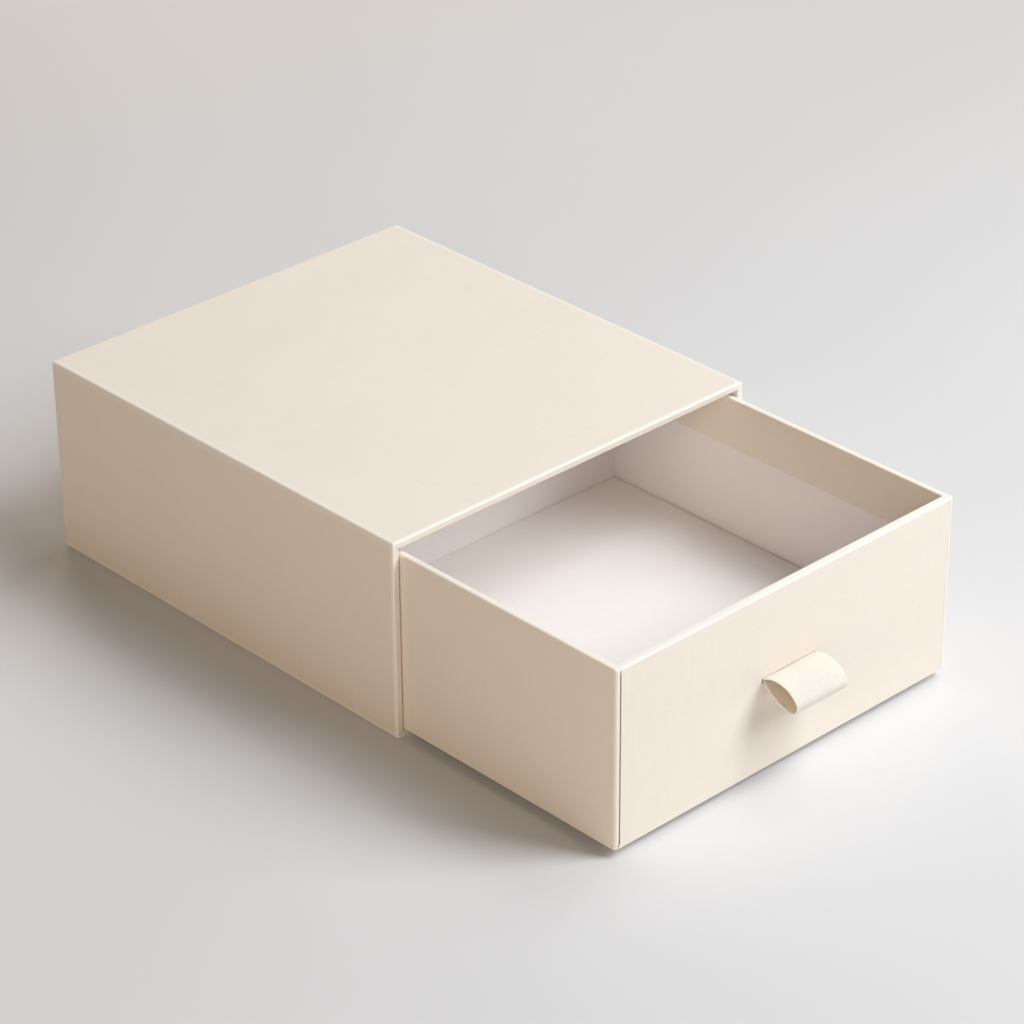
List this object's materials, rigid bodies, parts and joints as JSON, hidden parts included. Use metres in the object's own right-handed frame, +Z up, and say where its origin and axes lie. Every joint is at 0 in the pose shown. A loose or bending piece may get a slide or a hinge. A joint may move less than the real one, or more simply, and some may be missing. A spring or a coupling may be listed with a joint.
{
  "type": "drawer gift box",
  "caption": "Rigid paper-covered gift box: an open-fronted sleeve and a deep tray that slides out of it like a drawer, pulled by a looped ribbon.",
  "frame": {"origin": "centre of the sleeve's base, on the surface that the box stands on", "axes": "+Z up, the drawer opens towards -Y, +X to the right of someone who faces the box's back from the drawer's side"},
  "size_m": [0.15, 0.2699, 0.0685],
  "materials": {
    "greyboard": "matte",
    "cream_paper": "matte",
    "white_paper": "matte",
    "foam": "matte",
    "ribbon": "matte"
  },
  "bodies": {
    "sleeve": {"sleeve_bottom_board": "greyboard", "sleeve_top_board": "greyboard", "sleeve_left_board": "greyboard", "sleeve_right_board": "greyboard", "sleeve_back_board": "greyboard", "sleeve_wrap": "cream_paper", "sleeve_base_paper": "cream_paper", "sleeve_back_cover": "cream_paper", "sleeve_liner": "cream_paper", "sleeve_back_liner": "cream_paper"},
    "drawer": {"drawer_floor_board": "greyboard", "drawer_front_board": "greyboard", "drawer_back_board": "greyboard", "drawer_left_board": "greyboard", "drawer_right_board": "greyboard", "drawer_front_cover": "cream_paper", "drawer_back_cover": "cream_paper", "drawer_left_wrap": "cream_paper", "drawer_right_wrap": "cream_paper", "drawer_base_paper": "cream_paper", "drawer_front_liner": "white_paper", "drawer_back_liner": "white_paper", "drawer_left_liner": "white_paper", "drawer_right_liner": "white_paper", "floor_pad_foam": "foam", "floor_pad_face": "white_paper", "ribbon_tails": "ribbon"},
    "pull": {"ribbon_loop": "ribbon"}
  },
  "joints": [
    {"name": "drawer_slide", "type": "slide", "parent": "sleeve", "child": "drawer", "axis": [0, -1, 0], "range_m": [-0.091, 0.043]},
    {"name": "ribbon_flex", "type": "hinge", "parent": "drawer", "child": "pull", "pos_m": [0, -0.1741, 0.0343], "axis": [-1, 0, 0], "range_deg": [-15, 25], "stiffness_Nm_per_rad": 0.002}
  ]
}
